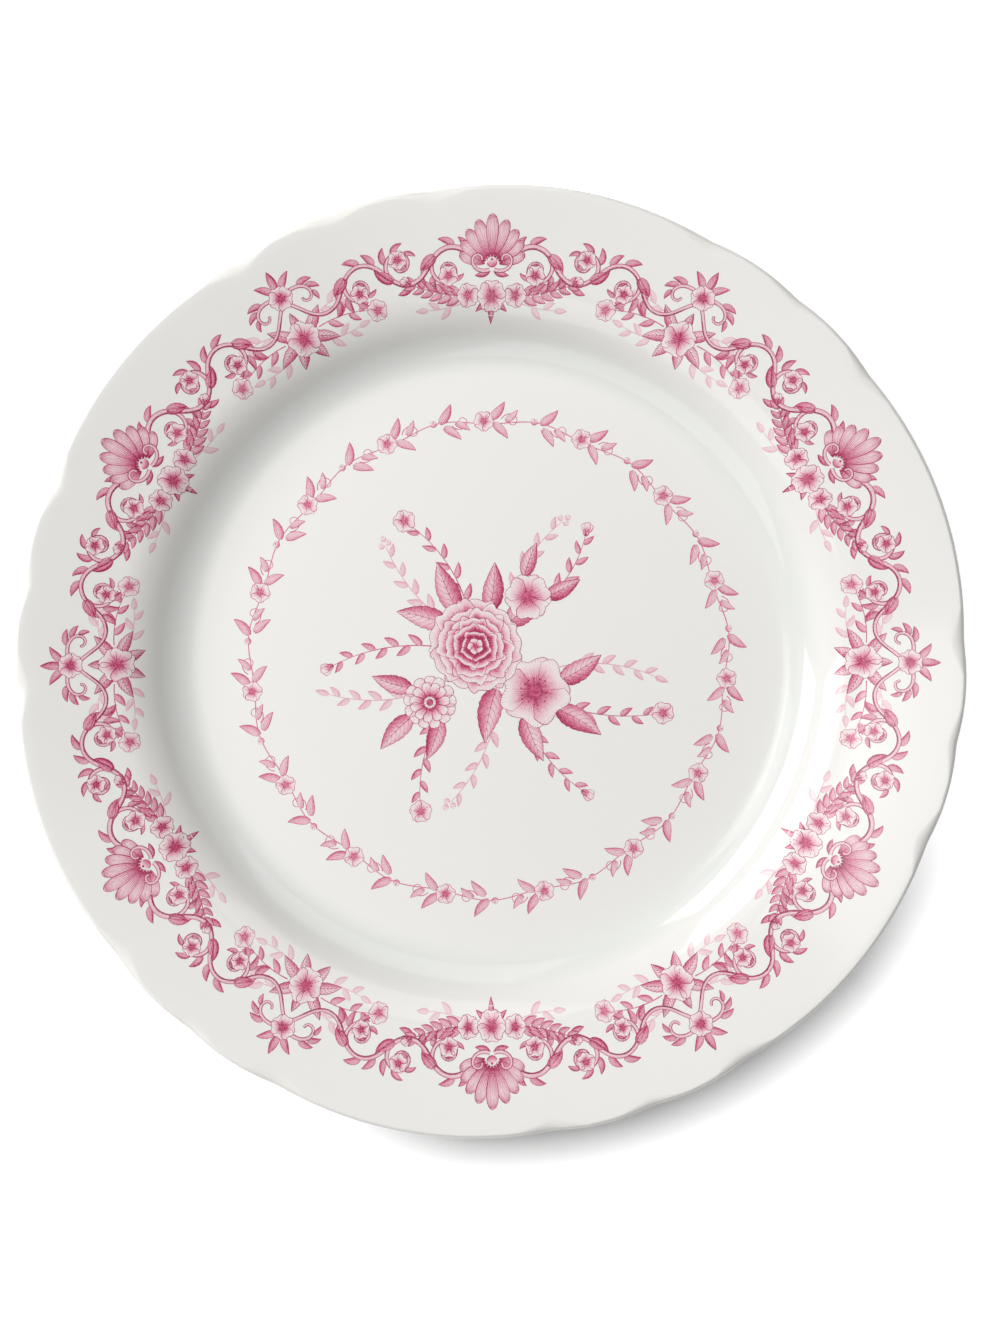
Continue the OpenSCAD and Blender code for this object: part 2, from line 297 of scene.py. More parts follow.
        add(self.floor_r * steps(10)[1:] * flat, self.floor_z - inset, 0.0)
        a = wall * steps(14)[1:]
        cove_r = self.cove_r + inset
        pooled = np.sin(math.pi * steps(14)[1:])
        add(self.floor_r + cove_r * np.sin(a), self.cove_z - cove_r * np.cos(a), pooled)
        a = (wall + (rim - wall) * steps(14))[1:]
        shoulder_r = self.shoulder_r - inset
        add(self.shoulder_x - shoulder_r * np.sin(a), self.shoulder_z + shoulder_r * np.cos(a), 0.0)
        from_r = self.shoulder_x - shoulder_r * math.sin(rim)
        r = from_r + (start - from_r) * steps(12)[1:]
        add(r, self.mid_z(r) + half, 0.0)
        a = math.pi * steps(24)[1:]
        r = start + reach * np.sin(a)
        add(r, self.mid_z(r) + half * np.cos(a), -np.sin(a) ** 2)
        under_r = self.shoulder_r - self.sizes.ware_t + inset
        to_r = self.shoulder_x - under_r * math.sin(rim)
        r = start + (to_r - start) * steps(8)[1:]
        add(r, self.mid_z(r) - half, 0.0)
        a = (rim + (wall - rim) * steps(8))[1:]
        add(self.shoulder_x - under_r * np.sin(a), self.shoulder_z + under_r * np.cos(a), 0.0)
        under_r = self.cove_r + self.sizes.ware_t - inset
        stop = math.asin((self.foot_out + FOOT_FILLET - self.floor_r) / under_r)
        a = (wall + (stop - wall) * steps(8))[1:]
        add(self.floor_r + under_r * np.sin(a), self.cove_z - under_r * np.cos(a), 0.0)
        return [np.concatenate(part) for part in zip(*rows)]

    def foot_side(self, theta, top_z, outer, grow, detail):
        """Rows of a fillet from the underside into one side of the foot ring, and down to the bare foot."""
        a = np.linspace(0, math.pi / 2, max(2, round(6 * detail)))[:, None] * np.ones_like(theta)
        side = 1 if outer else -1
        face = (self.foot_out if outer else self.foot_in) + side * grow
        fillet = FOOT_FILLET - grow
        r = face + side * fillet * (1 - np.sin(a))
        z = top_z - fillet * (1 - np.cos(a))
        down = np.full((1, theta.size), face), np.full((1, theta.size), self.sizes.bare_h)
        return np.concatenate([r, down[0]]), np.concatenate([z, down[1]])


class Surface:
    """Vertices and faces of one piece, gathered as whole arrays."""

    def __init__(self):
        self.points = []
        self.normals = []
        self.values = []
        self.faces = []
        self.count = 0

    def add(self, points, values, normals=None):
        """Adds vertices and returns their numbers in the shape of the points."""
        shape = points.shape[:-1]
        size = int(np.prod(shape))
        self.points.append(points.reshape(-1, 3))
        self.values.append(np.broadcast_to(values, shape).ravel())
        if normals is not None:
            self.normals.append(np.broadcast_to(normals, points.shape).reshape(-1, 3))
        numbers = self.count + np.arange(size).reshape(shape)
        self.count += size
        return numbers

    def face(self, *corners):
        """Adds a face for each element of the corner arrays, or a polygon for each row of one array."""
        if len(corners) == 1:
            rows = corners[0].reshape(-1, corners[0].shape[-1])
        else:
            rows = np.stack([corner.ravel() for corner in corners], -1)
        self.faces.append(rows)

    def piece(self, name, value_name, material):
        """Makes the mesh object, at the origin, with the vertex values as a named attribute."""
        points = np.concatenate(self.points)
        sizes = np.concatenate([np.full(len(rows), rows.shape[1]) for rows in self.faces])
        corners = np.concatenate([rows.ravel() for rows in self.faces])
        mesh = bpy.data.meshes.new(name)
        mesh.vertices.add(len(points))
        mesh.vertices.foreach_set("co", points.astype(np.float32).ravel())
        mesh.loops.add(len(corners))
        mesh.loops.foreach_set("vertex_index", corners.astype(np.int32))
        starts = np.concatenate([[0], np.cumsum(sizes)[:-1]])
        mesh.polygons.add(len(sizes))
        mesh.polygons.foreach_set("loop_start", starts.astype(np.int32))
        mesh.update(calc_edges=True)
        mesh.shade_smooth()
        field = mesh.attributes.new(value_name, "FLOAT", "POINT")
        field.data.foreach_set("value", np.concatenate(self.values).astype(np.float32))
        if self.normals:
            mesh.normals_split_custom_set_from_vertices(np.concatenate(self.normals))
        mesh.materials.append(material)
        piece = bpy.data.objects.new(name, mesh)
        bpy.context.scene.collection.objects.link(piece)
        return piece


def plan_map(piece):
    """Gives a print its map seen from above: the plan position over the plan's box, inside a margin."""
    margin = 0.01
    mesh = piece.data
    points = np.empty(len(mesh.vertices) * 3)
    mesh.vertices.foreach_get("co", points)
    plan = points.reshape(-1, 3)[:, :2]
    low = plan.min(0)
    plan = (plan - low) / (plan - low).max() * (1 - 2 * margin) + margin
    corners = np.empty(len(mesh.loops), dtype=np.int32)
    mesh.loops.foreach_get("vertex_index", corners)
    layer = mesh.uv_layers.new(name="OFBake")
    layer.data.foreach_set("uv", plan[corners].ravel())


def turned(name, r, z, value, theta, poles, value_name, material):
    """Closed surface of rows of radius and height turned about the axis, with a pole at each end."""
    surface = Surface()
    points = np.stack([r * np.cos(theta), r * np.sin(theta), z * np.ones_like(r)], -1)
    grid = surface.add(points, value)
    after = np.roll(grid, -1, axis=1)
    surface.face(grid[:-1], grid[1:], after[1:], after[:-1])
    for row, height, order in ((0, poles[0], 1), (-1, poles[1], -1)):
        pole = surface.add(np.array([[0, 0, height]]), value[row, 0])
        rim = [grid[row], after[row]][::order]
        surface.face(np.broadcast_to(pole, grid[row].shape), *rim)
    piece = surface.piece(name, value_name, material)
    piece.data.set_sharp_from_angle(angle=SHARP_EDGE)
    return piece


def glaze_skin(ware, name, theta, material):
    """Thin shell: the glazed surface from the front to the foot ring, and back along the clay under it."""
    sizes = ware.sizes
    rows = []
    for inset, grow, detail in ((0.0, sizes.glaze_t, 1.0), (sizes.glaze_t, 0.0, 0.4)):
        r, z, coat = ware.skin(theta, inset, detail)
        foot_r, foot_z = ware.foot_side(theta, z[-1], True, grow, detail)
        thin = np.linspace(0.4, -0.6, len(foot_r))[:, None] * np.ones_like(theta)
        part = [np.concatenate(pair) for pair in ((r, foot_r), (z, foot_z), (coat, thin))]
        rows.append(part if inset == 0 else [values[::-1] for values in part])
    r, z, coat = (np.concatenate(pair) for pair in zip(*rows))
    poles = (ware.floor_z, ware.floor_z - sizes.glaze_t)
    return turned(name, r, z, coat, theta, poles, "coat", material)


def recess_skin(ware, name, theta, material):
    """Thin shell under the floor: out along the clay to the foot ring, and in along the glazed face."""
    sizes = ware.sizes
    flat = np.ones_like(theta)
    spokes = np.linspace(0.1, 0.999, 8)[:, None] * flat
    rows = []
    for grow in (0.0, sizes.glaze_t):
        top = ware.recess_z + sizes.glaze_t - grow
        foot_r, foot_z = ware.foot_side(theta, top * flat, False, grow, 1.0)
        thin = np.linspace(0.5, -0.6, len(foot_r))[:, None] * flat
        r = np.concatenate([spokes * foot_r[0], foot_r])
        z = np.concatenate([np.full_like(spokes, top), foot_z])
        coat = np.concatenate([np.zeros_like(spokes), thin])
        rows.append([r, z, coat] if grow == 0 else [values[::-1] for values in (r, z, coat)])
    r, z, coat = (np.concatenate(pair) for pair in zip(*rows))
    poles = (ware.recess_z + sizes.glaze_t, ware.recess_z)
    return turned(name, r, z, coat, theta, poles, "coat", material)


def clay_form(ware, name, theta, material):
    """The fired clay: the ware drawn in by the glaze, and the foot ring with its rounded base."""
    sizes = ware.sizes
    flat = np.ones_like(theta)
    r, z, _ = ware.skin(theta, sizes.glaze_t, 0.6)
    out_r, out_z = ware.foot_side(theta, z[-1], True, 0.0, 1.0)
    in_r, in_z = ware.foot_side(theta, (ware.recess_z + sizes.glaze_t) * flat, False, 0.0, 1.0)
    a = np.linspace(0, math.pi / 2, 6)[:, None] * flat
    base_out = ware.foot_out - FOOT_EDGE + FOOT_EDGE * np.cos(a), FOOT_EDGE * (1 - np.sin(a))
    base_in = ware.foot_in + FOOT_EDGE - FOOT_EDGE * np.sin(a), FOOT_EDGE * (1 - np.cos(a))
    middle = np.linspace(0.98, 0.1, 6)[:, None] * ware.foot_in * flat
    r = np.concatenate([r, out_r, base_out[0], base_in[0], in_r[::-1], middle])
    z = np.concatenate([z, out_z, base_out[1], base_in[1], in_z[::-1], np.full_like(middle, in_z[0, 0])])
    worn = np.clip(1 - z / FOOT_EDGE, 0, 1)
    poles = (ware.floor_z - sizes.glaze_t, ware.recess_z + sizes.glaze_t)
    return turned(name, r, z, worn, theta, poles, "worn", material)


class Band:
    """A drawn strip: a middle line with a half width along it. All drawing sizes are in millimetres."""

    def __init__(self, start, heading, length, half):
        self.u = np.linspace(0, 1, len(heading))
        between = (heading[1:] + heading[:-1]) / 2
        step = length / (len(heading) - 1)
        self.x = start[0] + np.concatenate([[0], np.cumsum(np.cos(between))]) * step
        self.y = start[1] + np.concatenate([[0], np.cumsum(np.sin(between))]) * step
        self.heading = heading
        self.half = half
        self.length = length

    def at(self, u, v):
        """Point u along the strip and v across it, from -1 to 1."""
        heading = np.interp(u, self.u, self.heading)
        aside = np.interp(u, self.u, self.half) * v
        x = np.interp(u, self.u, self.x) - np.sin(heading) * aside
        y = np.interp(u, self.u, self.y) + np.cos(heading) * aside
        return np.stack([x, y], -1)


def blade(base, heading, length, width, bend=0.0, fullness=(0.75, 0.8), teeth=0):
    """Leaf or stalk: the direction turns evenly by bend, and the width goes as u^a (1 - u)^b, with teeth cut
    into it as a saw wave; angles in degrees."""
    u = np.linspace(0, 1, 41)
    low, high = fullness
    peak = low / (low + high)
    half = width / 2 * (u / peak) ** low * ((1 - u) / (1 - peak)) ** high
    if teeth:
        half = half * (0.9 + 0.16 * ((u * teeth) % 1))
    return Band(base, np.radians(heading + bend * u), length, half)


class Drawing:
    """Washes and strokes of a print, in millimetres on the plate's plan, and the order they are laid in."""

    def __init__(self, seed, roll=0.0):
        self.washes = {}
        self.strokes = {}
        self.place = np.eye(3)
        self.roll = roll
        self.strength = 1.0
        self.random = np.random.default_rng(seed)

    def placed(self, x=0.0, y=0.0, turn=0.0, flip=False, strength=1.0):
        """The same print with its origin moved to x, y, turned by degrees and perhaps mirrored."""
        view = copy.copy(self)
        c, s = math.cos(math.radians(turn)), math.sin(math.radians(turn))
        side = -1 if flip else 1
        view.place = self.place @ np.array([[c * side, -s, x], [s * side, c, y], [0, 0, 1]])
        view.strength = self.strength * strength
        return view

    def on_rim(self, x, r):
        """Origin at x along the border and r from the axis, with +Y outwards."""
        return self.placed(x, r - self.roll)

    def plan(self, points):
        """Places points on the plate; a drawing with a roll is bent round the axis at that radius."""
        points = points @ self.place[:2, :2].T + self.place[:2, 2]
        if self.roll:
            way, r = points[..., 0] / self.roll, points[..., 1] + self.roll
            points = np.stack([r * np.sin(way), r * np.cos(way)], -1)
        return points

    def wash(self, band, order, tone, cells=(10, 5), span=(0.02, 0.98)):
        """Lays a wash over a strip, where tone(u, v) gives its strength."""
        u = span[0] + (span[1] - span[0]) * (1 - np.cos(math.pi * np.linspace(0, 1, cells[0]))) / 2
        u, v = np.meshgrid(u, np.linspace(-1, 1, cells[1]), indexing="ij")
        points = self.plan(band.at(u, v))
        rows = np.concatenate([points, (tone(u, v) * self.strength)[..., None]], -1)
        if np.linalg.det(self.place[:2, :2]) < 0:
            rows = rows[:, ::-1]
        self.washes.setdefault(cells, []).append((rows, order))

    def stroke(self, points, width, tone, order):
        """Draws strokes through rows of points; width and tone may vary along them."""
        points = self.plan(points if points.ndim == 3 else points[None])
        shape = points.shape[:2]
        parts = [np.broadcast_to(part, shape)[..., None] for part in (width, tone * self.strength, order)]
        self.strokes.setdefault(shape[1], []).append(np.concatenate([points, *parts], -1))

    def edge(self, band, order, width, tone, steps, span=(0.02, 0.995), across=0):
        """Outlines a strip: up one side, perhaps across its far end, and down the other, heavier side."""
        u = span[0] + (span[1] - span[0]) * (1 - np.cos(math.pi * np.linspace(0, 1, steps))) / 2
        u = np.concatenate([u, np.full(across, span[1]), u[::-1]])
        v = np.concatenate([np.ones(steps), np.linspace(1, -1, across + 2)[1:-1], -np.ones(steps)])
        self.stroke(band.at(u, v), width * (1 - 0.3 * v), tone, order)

    def rays(self, band, order, count, start, reach, width, tone, spread):
        """Draws lines along a strip from near its base, thinning out."""
        t = np.linspace(0, 1, 5)
        v = np.linspace(-spread, spread, count)[:, None]
        far = self.random.uniform(reach[0], reach[1], (count, 1)) * (1 - 0.35 * v**2)
        self.stroke(band.at(start + far * t, v * np.ones(5)), width * (1 - 0.75 * t), tone, order)

    def fringe(self, band, order, count, depth, width, tone, side, span=(0.06, 0.94)):
        """Draws short lines from one edge of a strip inwards."""
        t = np.linspace(0, 1, 4)
        u = np.linspace(*span, count)[:, None] + self.random.uniform(-0.01, 0.01, (count, 1))
        deep = depth * self.random.uniform(0.5, 1.0, (count, 1))
        points = band.at(np.clip(u - 0.05 * t, 0.01, 0.99), side * (0.97 - deep * t))
        self.stroke(points, width * (1 - 0.7 * t), tone, order)

    def veins(self, band, order, count, width=0.14, tone=0.85, lean=0.2):
        """Draws a midrib and curved side veins."""
        t = np.linspace(0, 1, 9)
        self.stroke(band.at(0.94 * t, 0 * t), 1.6 * width * (1 - 0.6 * t), tone, order)
        t = np.linspace(0, 1, 5)
        u = np.linspace(0.1, 0.74, count)[:, None]
        for side in (-1, 1):
            points = band.at(u + lean * t**1.3, side * 0.82 * t * np.ones_like(u))
            self.stroke(points, width * (1 - 0.6 * t), tone, order)

    def stem(self, band, order, width=(0.4, 0.2), tone=0.7, steps=13):
        """Draws the middle line of a strip."""
        t = np.linspace(0, 1, steps)
        self.stroke(band.at(t, 0 * t), width[0] + (width[1] - width[0]) * t, tone, order)


def film(drawing, ware, name, turn, material):
    """Lays a drawing on the plate: every wash and stroke is a thin closed film that follows the front."""
    ply = print_look().ply
    sunk = -0.02 * MM
    c, s = math.cos(turn), math.sin(turn)
    surface = Surface()

    def laid(plan, height):
        x, y = plan[..., 0] * MM, plan[..., 1] * MM
        on, normal = ware.front(c * x - s * y, s * x + c * y)
        return on + normal * np.asarray(height)[..., None], normal

    for (along, across), group in drawing.washes.items():
        rows = np.stack([row for row, _ in group])
        order = np.array([order for _, order in group])
        tone = rows[..., 2]
        points, normal = laid(rows[..., :2], ((order + 1) * ply)[:, None, None])
        top = surface.add(points, tone, normal)
        surface.face(top[:, :-1, :-1], top[:, 1:, :-1], top[:, 1:, 1:], top[:, :-1, 1:])
        number = np.arange(along * across).reshape(along, across)
        ring = np.concatenate([number[:-1, 0], number[-1, :-1], number[:0:-1, -1], number[0, :0:-1]])
        flat = rows.reshape(len(group), -1, 3)[:, ring]
        points, normal = laid(flat[..., :2], sunk)
        low = surface.add(points, flat[..., 2], normal)
        edge = top.reshape(len(group), -1)[:, ring]
        surface.face(low, np.roll(low, -1, 1), np.roll(edge, -1, 1), edge)
        surface.face(low[:, ::-1])
    for group in drawing.strokes.values():
        rows = np.concatenate(group)
        plan, width, tone, order = rows[..., :2], rows[..., 2:3], rows[..., 3], rows[..., 4]
        along = np.gradient(plan, axis=1)
        along /= np.maximum(np.linalg.norm(along, axis=-1, keepdims=True), 1e-9)
        aside = np.stack([-along[..., 1], along[..., 0]], -1) * width / 2
        raised = (order + 1) * ply
        lines = []
        for side, height in ((1, raised), (-1, raised), (0, np.full_like(raised, sunk))):
            points, normal = laid(plan + side * aside, height)
            lines.append(surface.add(points, tone, normal))
        left, right, keel = lines
        for a, b in ((right, left), (left, keel), (keel, right)):
            surface.face(a[:, :-1], a[:, 1:], b[:, 1:], b[:, :-1])
        surface.face(right[:, 0], left[:, 0], keel[:, 0])
        surface.face(left[:, -1], right[:, -1], keel[:, -1])
    piece = surface.piece(name, "tone", material)
    plan_map(piece)
    return piece


class Petal:
    """A drawn petal: u runs out from its base and v across it; the sides spread with a power of u, and the
    far edge falls away to both sides with powers of v, with scallops cut by the size of a sine."""

    def __init__(self, base, turn, length, width, lean, frill, waves):
        self.base = np.array(base)
        self.turn = math.radians(turn)
        self.length, self.width, self.lean = length, width, lean
        self.frill, self.waves = frill, waves

    def at(self, u, v):
        """Point u along the petal and v across it, from -1 to 1."""
        notch = 1 - np.abs(np.sin(self.waves * math.pi * (v + 1) / 2))
        along = self.length * u * (1 - 0.1 * v**2 - 0.32 * v**6) * (1 - self.frill * u**3 * notch)
        aside = self.width / 2 * u**0.6 * np.sin(math.pi / 2 * v) + self.lean * u**2
        c, s = math.cos(self.turn), math.sin(self.turn)
        return self.base + np.stack([-c * aside - s * along, c * along - s * aside], -1)


def spiral(start, heading, length, first, last, width):
    """Spiral strip: its curvature goes from 1 / first to 1 / last; a minus sign turns it clockwise."""
    u = np.linspace(0, 1, 91)
    bend = 1 / first + (1 / last - 1 / first) * u**2
    turn = np.concatenate([[0], np.cumsum((bend[1:] + bend[:-1]) / 2)]) * length * u[1]
    return Band(start, math.radians(heading) + turn, length, width / 2 * (1 - 0.45 * u))


def along(band, u, v=0.0):
    """Place on a strip: x, y, and the turn from +Y of its direction there."""
    x, y = band.at(np.array([u]), np.array([v]))[0]
    return x, y, math.degrees(np.interp(u, band.u, band.heading)) - 90


def roundel(x, y, radius):
    """Round strip: as wide as long, with a width that goes as the root of u (1 - u)."""
    return blade((x - radius, y), 0, 2 * radius, 2 * radius, fullness=(0.5, 0.5))


def disc(d, x, y, radius, order, tone, cells=(6, 3)):
    """Round dot of one tone."""
    d.wash(roundel(x, y, radius), order, lambda u, v: tone + 0 * u, cells, (0.03, 0.97))


def bead(d, x, y, radius, order):
    """Bead: a pale dot with a dark outline and a shaded side."""
    band = roundel(x, y, radius)
    d.wash(band, order, lambda u, v: 0.22 - 0.4 * v + 0.25 * u, (6, 5), (0.03, 0.97))
    d.edge(band, order + 0.4, 0.15, 0.92, 7)


def leaflet(d, x, y, turn, length, width, order, bend=0.0, tone=0.6):
    """Small pointed leaf: pale along its rib, dark to its tip and on one side, with an outline and lines."""
    band = blade((x, y), 90 + turn, length, width, bend, (0.6, 1.0))
    d.wash(band, order, lambda u, v: tone * (0.3 + 0.5 * u**2 - 0.25 * v + 0.6 * v**2), (8, 5))
    d.edge(band, order + 0.4, 0.15, 0.92, 9)
    d.rays(band, order + 0.4, 3, 0.04, (0.5, 0.9), 0.14, 0.92, 0.42)


def leaflet_on(d, band, u, v, lean, size, order, bend, tone, slim=0.4):
    """Leaflet that springs from a place on a strip and leans from its direction there by degrees."""
    x, y, way = along(band, u, v)
    leaflet(d, x, y, way + lean, size, slim * size, order, bend, tone)


def leaf(d, x, y, turn, length, width, order, bend=0.0, tone=0.6):
    """Full leaf: saw-toothed and pointed, one half paler, with a midrib, side veins and hatched edges."""
    band = blade((x, y), 90 + turn, length, width, bend, (0.6, 1.05), teeth=8)

    def shaded(u, v):
        return tone * (0.34 + 0.55 * np.abs(v) ** 1.5 - 0.22 * np.tanh(4 * v) + 0.3 * (1 - u) ** 3)

    d.wash(band, order, shaded, (20, 7))
    d.edge(band, order + 0.5, 0.17, 0.95, 30)
    d.veins(band, order + 0.5, 6)
    d.fringe(band, order + 0.4, 20, 0.5, 0.14, 0.9, -1)
    d.fringe(band, order + 0.4, 14, 0.3, 0.13, 0.85, 1)


def petal(d, turn, start, length, width, order, lean, shade, frill=0.1, waves=2, lines=5, hidden=0.0):
    """Petal out from the flower's middle: white to its edge, dark where it comes out from under the next
    ring, which hides a share of it, with engraved lines."""
    rad = math.radians(turn)
    form = Petal((-start * math.sin(rad), start * math.cos(rad)), turn, length, width, lean, frill, waves)

    def tone(u, v):
        shown = np.clip((u - hidden) / (1 - hidden), 0, 1)
        return 0.04 + shade * (1 - shown) ** 1.6 + 0.14 * v**4 - 0.1 * v * shown

    d.wash(form, order, tone, (8, 4 * waves + 1), (0.03, 1.0))
    d.edge(form, order + 0.5, 0.16, 0.88, 6, (0.05, 1.0), 4 * waves + 3)
    reach = 1 - hidden
    d.rays(form, order + 0.4, lines, 0.08 + 0.9 * hidden, (0.3 * reach, 0.65 * reach), 0.17, 0.92, 0.75)
    d.rays(form, order + 0.4, lines + 2, 0.97, (-0.2 * reach, -0.06 * reach), 0.12, 0.6, 0.8)


def stamens(d, radius, order, count):
    """Flower's eye: a dark disc, with fine lines that end in dots round it."""
    a = around(count)[:, None] + d.random.uniform(-0.1, 0.1, (count, 1))
    r = radius * np.linspace(0.35, 1.0, 3) * d.random.uniform(0.8, 1.1, (count, 1))
    d.stroke(np.stack([r * np.cos(a), r * np.sin(a)], -1), 0.12, 0.8, order)
    disc(d, 0, 0, radius * 0.42, order + 0.4, 0.8)
    dot_r = 0.16 + 0.03 * radius
    for way, reach in zip(a[:, 0], r[:, -1]):
        disc(d, reach * math.cos(way), reach * math.sin(way), dot_r, order + 0.6, 0.95, (4, 3))


def blossom(d, petals, radius, order, turn=0.0, shade=0.7):
    """Small open flower: one ring of heart-shaped petals that overlap in turn, and an eye."""
    width = 2.1 * radius * math.sin(math.pi / petals)
    for k in range(petals):
        level = order + k % 2 + 0.1 * k
        petal(d, turn + 360 / petals * k, 0.1 * radius, 0.9 * radius, width, level, 0, shade)
    stamens(d, 0.34 * radius, order + 3, 7)


def peony(d, radius, order):
    """Many-petalled flower: five rings of frilled petals, each smaller and higher, round a tight heart."""
    rings = ((9, 1.0, 0.8), (8, 0.83, 0.85), (8, 0.65, 0.9), (6, 0.47, 0.95), (5, 0.3, 1.0))
    for ring, (count, reach, shade) in enumerate(rings):
        for k in range(count):
            turn = 360 / count * (k + 0.5 * ring) + d.random.uniform(-6, 6)
            size = radius * reach * d.random.uniform(0.93, 1.03)
            lean = d.random.uniform(-0.1, 0.1) * size
            width = 2.5 * size * math.sin(math.pi / count)
            level = order + 2.6 * ring + 1.2 * (k % 2) + 0.1 * k
            petal(d, turn, 0.2 * size, 0.8 * size, width, level, lean, shade, 0.1, 3, 13 - ring, 0.6)
    heart = 0.16 * radius
    for k in range(5):
        petal(d, 72 * k, 0, heart, heart, order + 14 + 0.2 * k, 0.03 * radius, 1.0, 0.05, 1, 2)


def dog_rose(d, radius, order):
    """Five broad notched petals round a ring of long stamens."""
    for k in range(5):
        turn, level = 72 * k + 9, order + k % 2 + 0.15 * k
        width, lean = 1.28 * radius, 0.05 * radius
        petal(d, turn, 0.1 * radius, 0.9 * radius, width, level, lean, 0.8, 0.13, 2, 15)
    stamens(d, 0.42 * radius, order + 3, 15)


def aster(d, radius, order):
    """Two rings of narrow petals round a dotted button."""
    for ring, (count, reach) in enumerate(((13, 1.0), (11, 0.76))):
        length, width = reach * radius - 0.2 * radius, 0.46 * radius * reach
        for k in range(count):
            lean = d.random.uniform(-0.05, 0.05) * radius
            level = order + 2 * ring + 0.1 * k
            turn = 360 / count * (k + 0.4 * ring)
            petal(d, turn, 0.2 * radius, length, width, level, lean, 0.85, 0.06, 1, 3)
    stamens(d, 0.32 * radius, order + 5, 12)


def bud(d, x, y, turn, size, order):
    """Closed flower on its sepals: three petals that overlap and two small leaves under them."""
    at = d.placed(x, y, turn)
    for side, lift in ((-1, 0), (1, 0.6), (0, 1.2)):
        petal(at, 20 * side, 0, size * (1 - 0.08 * abs(side)), size * 0.5, order + lift, 0, 0.9, 0.08, 1, 4)
    for side in (-1, 1):
        leaflet(at, 0, -0.1 * size, 38 * side, size * 0.6, size * 0.24, order + 2, -50 * side, 0.95)


def berry(d, x, y, radius, order):
    """Berry: a shaded dot, an outline and a dark tip."""
    bead(d, x, y, radius, order)
    disc(d, x, y + 0.5 * radius, 0.24 * radius, order + 0.7, 1.0, (4, 3))


def spray(d, x, y, turn, bend, reach, order, strength=0.5, end="bud"):
    """Light twig: a bent stem with leaflets on alternate sides and a flower, bud or berries at its end."""
    at = d.placed(x, y, turn, strength=strength)
    stalk = blade((0, 0), 90, reach, 0, bend)
    at.stem(stalk, order, (0.32, 0.16), 0.95)
    count = max(3, round(reach / 3.2))
    for k in range(1, count):
        side = (-1) ** k
        size = 5.2 - 1.6 * k / count
        leaflet_on(at, stalk, k / count, 0, 48 * side, size, order + 0.5 + 0.1 * k, -24 * side, 0.9)
    tip = at.placed(*along(stalk, 1.0))
    if end == "bud":
        bud(tip, 0, -0.3, 0, 3.6, order + 1)
    elif end == "flower":
        blossom(tip.placed(0, 2.2), 5, 3.0, order + 2)
    elif end == "berry":
        for bx, by in ((-1.1, 0.4), (1.0, 0.7), (0.1, 2.2)):
            berry(tip, bx, by, 0.8, order + 1)
    else:
        leaflet(tip, 0, 0, 0, 4, 1.6, order + 1, 0, 0.9)


def vine(d, band, order, hatched=-1):
    """Stalk of the scrolls: a pale body, dark edges, a line along its middle and hatching on one side."""
    steps = max(12, round(band.length * 1.4))
    d.wash(band, order, lambda u, v: 0.2 + 0.12 * v**2 - 0.12 * hatched * v, (steps, 3), (0.0, 1.0))
    d.edge(band, order + 0.5, 0.2, 0.95, steps, (0.0, 1.0))
    d.fringe(band, order + 0.4, round(band.length * 1.6), 0.9, 0.14, 0.9, hatched, (0.03, 0.97))


def both_sides(d):
    """The print as it stands and mirrored about its middle."""
    return d, d.placed(flip=True)


def palmette(d):
    """Fan of nine fluted leaves on a heart with two volutes, in the middle of a section."""
    at = d.on_rim(0, 112)
    for k in (4, -4, 3, -3, 2, -2, 1, -1, 0):
        reach = 14.5 - 1.1 * abs(k)
        leaf_at = at.placed(turn=19 * k)
        band = blade((0, 2), 90, reach - 2, 3.3, -5 * k, (0.95, 0.5))
        order = 9 - abs(k) + 0.3 * (k > 0)
        leaf_at.wash(band, order, lambda u, v: 0.1 + 0.6 * (1 - u) ** 2 + 0.2 * v**2 + 0.3 * u**6, (12, 7))
        leaf_at.edge(band, order + 0.3, 0.18, 0.95, 14)
        leaf_at.rays(band, order + 0.2, 5, 0.05, (0.6, 0.82), 0.16, 0.9, 0.6)
        leaf_at.rays(band, order + 0.2, 6, 0.96, (-0.3, -0.14), 0.14, 0.9, 0.7)
    for side in both_sides(at):
        vine(side, spiral((0.6, -1.2), -20, 12, 5.0, 1.0, 1.1), 10)
        leaflet(side, 0.8, -1.4, -126, 4.6, 1.8, 9.5, 40, 0.9)
    berry(at, 0, 1.0, 1.5, 11)


